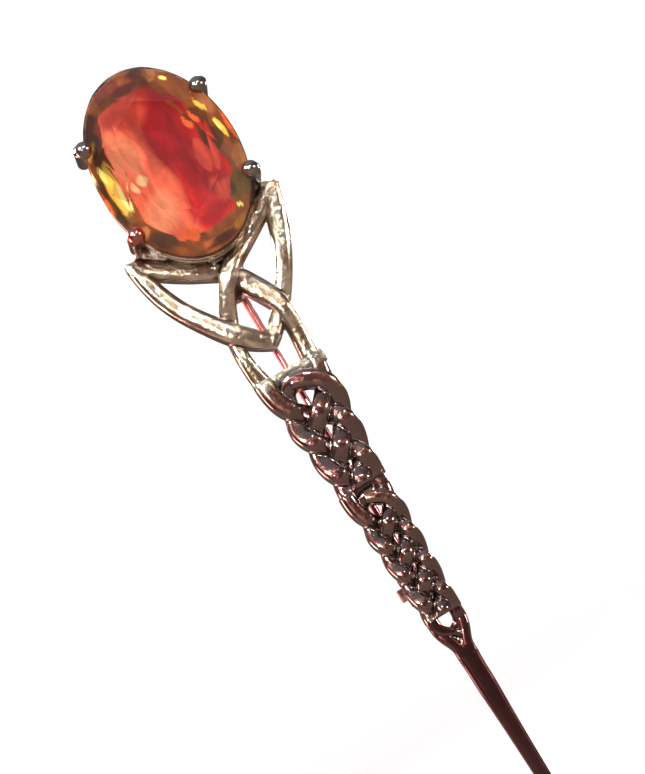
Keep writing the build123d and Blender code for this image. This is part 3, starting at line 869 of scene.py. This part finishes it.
class BROOCH_OT_plaits(bpy.types.Operator):
    """Builds the two plait castings"""
    bl_idname = "brooch.plaits"
    bl_label = "Plaits"

    def execute(self, context):
        strands = context.scene.brooch_strands
        settings = context.scene.brooch_metal
        # The faces' dark red is a painted reflection that fades to the knot's silver near the top; the
        # dark colour is painted shade on walls and in hollows
        fade = (UPPER_HIGH.z - 0.2, UPPER_HIGH.z - 1.2, settings.silver)
        finish = metal("Plait silver", settings.plum_reflection, settings.plait_shade, 0.16, settings.grain, 0.7,
                       patch=0.2, gloss=1.0, tarnish=settings.bronze, fade=fade)
        for name, node, low, high, halves, rows, width, lean in (
                ("upper_plait_casting", "upper_plait", UPPER_LOW, UPPER_HIGH, (2.8, 1.4),
                 strands.rows_upper, 1.65, 1.2),
                ("lower_plait_casting", "lower_plait", LOWER_LOW, LOWER_HIGH, (1.75, 1.1),
                 strands.rows_lower, 1.3, 0.9)):
            paths = plait_strands(high.z, low.z, halves, rows, width, strands.under, lean)
            meshes = [strand_mesh("strand", path, DOME, 2.6) for path in paths]
            meshes.append(bar_mesh(halves[0] + width / 4, high.z + 0.4, high.z - width * 0.7, 1.15))
            meshes.append(bar_mesh(halves[1] + width / 3, low.z + 0.35, low.z - 0.4, 1.1))
            mesh = melt(name, meshes, strands.voxel * 0.9, 4)
            mesh = trim(mesh, top=high.z, bottom=low.z)
            mark_hollows(mesh)
            finish_piece(mesh, finish, ROOT, [node])
        return {"FINISHED"}


class BROOCH_OT_blade(bpy.types.Operator):
    """Builds the tapering blade and the eye at its root"""
    bl_idname = "brooch.blade"
    bl_label = "Blade"

    def execute(self, context):
        strands = context.scene.brooch_strands
        settings = context.scene.brooch_metal
        top, tip = BLADE_HIGH.z, BLADE_LOW.z
        thick = BLADE_HIGH.y - BLADE_LOW.y
        left = [
            (-1.15, top + 0.6, thick, 1.15), (-1.15, top - 0.4, thick, 1.1),
            (-0.85, top - 1.15, thick, 1.0), (0.0, top - 1.75, thick, 0.7),
            (0.5, top - 2.5, thick * 0.8, 0.6)]
        right = [
            (1.15, top + 0.6, thick, 1.15), (1.12, top - 0.4, thick, 1.1),
            (0.75, top - 1.2, thick * 0.8, 0.9), (-0.1, top - 1.65, thick * 0.75, 0.7),
            (-0.45, top - 2.5, thick * 0.8, 0.6)]
        rim_left = [
            (-1.12, top + 0.2, thick * 0.9, 1.15), (-1.2, top - 0.9, thick * 0.9, 1.0),
            (-0.9, top - 2.0, thick, 0.95), (-0.5, top - 3.0, thick, 0.95),
            (-0.48, top - 4.0, thick, 0.9)]
        rim_right = [(-x, z, height, width) for x, z, height, width in rim_left]
        spine = [
            (0, top - 2.5, thick * 0.8, 0.5), (0, top - 3.2, thick, 1.7),
            (0, top - 4.2, thick, 1.86), (0, top - 6.5, thick, 1.74), (0, top - 9, thick, 1.58),
            (0, top - 16, thick, 1.25), (0, top - 23, thick, 0.85), (0, tip + 1.2, thick * 0.9, 0.7),
            (0, tip + 0.45, thick * 0.8, 0.58), (0, tip + 0.03, thick * 0.65, 0.3)]
        paths = (left, right, rim_left, rim_right, spine)
        meshes = [strand_mesh("strand", path, BLADE_DOME, 3.2) for path in paths]
        mesh = melt("blade_casting", meshes, strands.voxel * 0.9, 4)
        mesh = trim(mesh, top=top)
        mark_hollows(mesh)
        # The faces' dark red is a painted reflection; the dark colour is painted shade on walls and in
        # hollows
        finish = metal("Blade silver", settings.plum_reflection, settings.plait_shade, 0.2, settings.grain * 1.6, 0.12,
                       patch=0.0, gloss=0.6, uneven=0.03)
        finish_piece(mesh, finish, ROOT, ["blade"])
        return {"FINISHED"}


# ---------------------------------------------------------------- pin and catch

class BROOCH_OT_fittings(bpy.types.Operator):
    """Builds the hinge, the pin wire and the catch"""
    bl_idname = "brooch.fittings"
    bl_label = "Pin and catch"

    def execute(self, context):
        # The fittings' pink and the pin wire's red are painted reflection of red surroundings on silver;
        # their dark colours are painted shade on walls and in hollows
        plain = metal("Fitting silver", tint(190, 150, 138), tint(96, 60, 52), 0.18, 0.5, 0.25,
                      wall=0.15)
        wire = metal("Pin wire", tint(150, 72, 74), tint(80, 30, 32), 0.12, 0.4, 0.12,
                     wall=0.1, gloss=0.6)
        for node, body, finish, slot in (
                ("pin_bracket", ROOT, plain, "fitting"),
                ("pin_rivet", ROOT, plain, "fitting"),
                ("catch_base", ROOT, plain, "fitting"),
                ("catch_roller", "roller", plain, "fitting"),
                ("pin_stem", "pin", wire, "wire")):
            mesh = softened(node, node + "_piece", 0.035, 3)
            mark_hollows(mesh)
            finish_piece(mesh, finish, body, [node])
        return {"FINISHED"}


# ---------------------------------------------------------------- stage

def paper_material(settings):
    """Pale paper that mirrors show darker, as if the studio beyond the lamps were dim."""
    material = bpy.data.materials.new("Paper")
    material.use_nodes = True
    tree = material.node_tree
    shader = tree.nodes["Principled BSDF"]
    path = add_node(tree, "ShaderNodeLightPath", (-500, 200))
    shade = add_node(tree, "ShaderNodeMix", (-250, 200), data_type="RGBA")
    shade.inputs[6].default_value = (*settings.paper, 1)
    shade.inputs[7].default_value = (*settings.dusk, 1)
    tree.links.new(path.outputs["Is Glossy Ray"], shade.inputs[0])
    tree.links.new(shade.outputs[2], shader.inputs["Base Color"])
    shader.inputs["Roughness"].default_value = 0.9
    return material


def studio_world():
    """Even pale light; mirrors see it bright overhead and dim low down."""
    world = bpy.data.worlds.new("Studio")
    world.use_nodes = True
    tree = world.node_tree
    sky = tree.nodes["Background"]
    path = add_node(tree, "ShaderNodeLightPath", (-700, 200))
    place = add_node(tree, "ShaderNodeTexCoord", (-900, -100))
    split = add_node(tree, "ShaderNodeSeparateXYZ", (-700, -100))
    tree.links.new(place.outputs["Generated"], split.inputs[0])
    height = add_node(tree, "ShaderNodeMapRange", (-500, -100))
    height.inputs["From Min"].default_value = 0.35
    height.inputs["From Max"].default_value = 0.9
    height.inputs["To Min"].default_value = 0.08
    height.inputs["To Max"].default_value = 0.42
    tree.links.new(split.outputs["Z"], height.inputs["Value"])
    level = add_node(tree, "ShaderNodeMix", (-250, 0), data_type="FLOAT")
    level.inputs[2].default_value = 1.0
    tree.links.new(path.outputs["Is Glossy Ray"], level.inputs[0])
    tree.links.new(height.outputs["Result"], level.inputs[3])
    tree.links.new(level.outputs[0], sky.inputs["Strength"])
    sky.inputs["Color"].default_value = (1, 1, 1, 1)
    return world


WHITE, CREAM, ROSY, CORAL_LIGHT = (1, 1, 1), (1, 0.97, 0.9), (1, 0.86, 0.8), (1, 0.42, 0.36)
# Lamps: name, place, size, power and colour; all of them face the top of the plait
LAMPS = (
    ("Key", (-0.2, -0.26, 0.22), 0.1, 2.2, WHITE),
    ("Fill", (0.26, -0.2, -0.02), 0.06, 0.5, ROSY),
    ("Low front", (0.02, -0.28, -0.17), 0.09, 0.9, CREAM),
    ("Left strip", (-0.3, 0.14, 0.0), 0.16, 1.2, CORAL_LIGHT),
    ("Spark left", (-0.1, -0.32, 0.03), 0.012, 0.5, WHITE),
    ("Spark right", (0.09, -0.3, 0.16), 0.012, 0.5, WHITE),
    ("Back left", (-0.18, 0.26, 0.2), 0.1, 1.8, WHITE),
    ("Back right", (0.22, 0.2, 0.02), 0.06, 0.5, WHITE))
LAMP_AIM = (0, 0, -0.01)
# The sweep is a wide round dish: radius and height of its wall, in metres
SWEEP_PROFILE = ((0.0, 0.0), (0.6, 0.0), (0.8, 0.03), (0.93, 0.12), (1.0, 0.3), (1.0, 0.7))
SWEEP_SIDES = 64
SWEEP_DROP = 0.03
CAMERA_TARGET = (1.385, -3.7, -13.06)


def area_light(name, place, size, power, colour):
    data = bpy.data.lights.new(name, "AREA")
    data.shape = "DISK"
    data.size = size
    data.energy = power
    data.color = colour
    lamp = bpy.data.objects.new(name, data)
    bpy.context.collection.objects.link(lamp)
    lamp.location = place
    lamp.rotation_mode = "QUATERNION"
    lamp.rotation_quaternion = (Vector(LAMP_AIM) - Vector(place)).to_track_quat("-Z", "Y")


def sweep_mesh(floor):
    """A round dish of paper that rises into a wall on every side."""
    corners, faces = [], []
    line = spline_through([(radius, height, 0.0) for radius, height in SWEEP_PROFILE], 0.03)
    for radius, height, _ in line:
        for step in range(SWEEP_SIDES):
            angle = 2 * math.pi * step / SWEEP_SIDES
            corners.append((radius * math.cos(angle), radius * math.sin(angle), floor + height))
    for ring in range(len(line) - 1):
        for step in range(SWEEP_SIDES):
            a = ring * SWEEP_SIDES + step
            b = ring * SWEEP_SIDES + (step + 1) % SWEEP_SIDES
            faces.append((a, b, b + SWEEP_SIDES, a + SWEEP_SIDES))
    sweep = mesh_from("sweep", corners, faces)
    sweep.shade_smooth()
    return sweep


class BROOCH_OT_stage(bpy.types.Operator):
    """Sets out the pale sweep, the lights and the camera"""
    bl_idname = "brooch.stage"
    bl_label = "Stage"

    def execute(self, context):
        settings = context.scene.brooch_stage
        sweep = sweep_mesh(CAD_BOX[0][2] - SWEEP_DROP)
        sweep.materials.append(paper_material(settings))
        loose(sweep)
        context.scene.world = studio_world()
        for lamp in LAMPS:
            area_light(*lamp)
        context.scene.view_settings.view_transform = "Standard"

        data = bpy.data.cameras.new("Camera")
        data.lens = settings.lens
        data.sensor_width = 36
        data.clip_start = 0.005
        data.clip_end = 10
        camera = bpy.data.objects.new("Camera", data)
        context.collection.objects.link(camera)
        target = Vector(CAMERA_TARGET) * MM
        back = Vector((
            math.sin(settings.turn) * math.cos(settings.rise),
            -math.cos(settings.turn) * math.cos(settings.rise),
            math.sin(settings.rise)))
        camera.location = target + back * settings.distance
        level = (-back).to_track_quat("-Z", "Y").to_matrix()
        camera.rotation_euler = (level @ Matrix.Rotation(-settings.roll, 3, "Z")).to_euler()
        context.scene.camera = camera
        return {"FINISHED"}


class BROOCH_PT_panel(bpy.types.Panel):
    """Lists the pieces and their sizes and colours"""
    bl_idname = "BROOCH_PT_panel"
    bl_label = "Kilt Pin"
    bl_space_type = "VIEW_3D"
    bl_region_type = "UI"
    bl_category = "Kilt Pin"

    def draw(self, context):
        for operator in OPERATORS:
            self.layout.operator(operator.bl_idname)
        for name in SETTINGS:
            group = getattr(context.scene, name)
            box = self.layout.box()
            for key in group.__annotations__:
                box.prop(group, key)


SETTINGS = {
    "brooch_stone": StoneSettings,
    "brooch_metal": MetalSettings,
    "brooch_strands": StrandSettings,
    "brooch_stage": StageSettings,
}
OPERATORS = (
    BROOCH_OT_stone,
    BROOCH_OT_setting,
    BROOCH_OT_knot,
    BROOCH_OT_plaits,
    BROOCH_OT_blade,
    BROOCH_OT_fittings,
    BROOCH_OT_stage,
)


def register():
    for group in SETTINGS.values():
        bpy.utils.register_class(group)
    for name, group in SETTINGS.items():
        setattr(bpy.types.Scene, name, PointerProperty(type=group))
    for operator in OPERATORS:
        bpy.utils.register_class(operator)
    bpy.utils.register_class(BROOCH_PT_panel)


def unregister():
    bpy.utils.unregister_class(BROOCH_PT_panel)
    for operator in reversed(OPERATORS):
        bpy.utils.unregister_class(operator)
    for name, group in SETTINGS.items():
        delattr(bpy.types.Scene, name)
        bpy.utils.unregister_class(group)


def main():
    register()
    bpy.ops.brooch.stone()
    bpy.ops.brooch.setting()
    bpy.ops.brooch.knot()
    bpy.ops.brooch.plaits()
    bpy.ops.brooch.blade()
    bpy.ops.brooch.fittings()
    bpy.ops.brooch.stage()


if __name__ == "__main__":
    main()
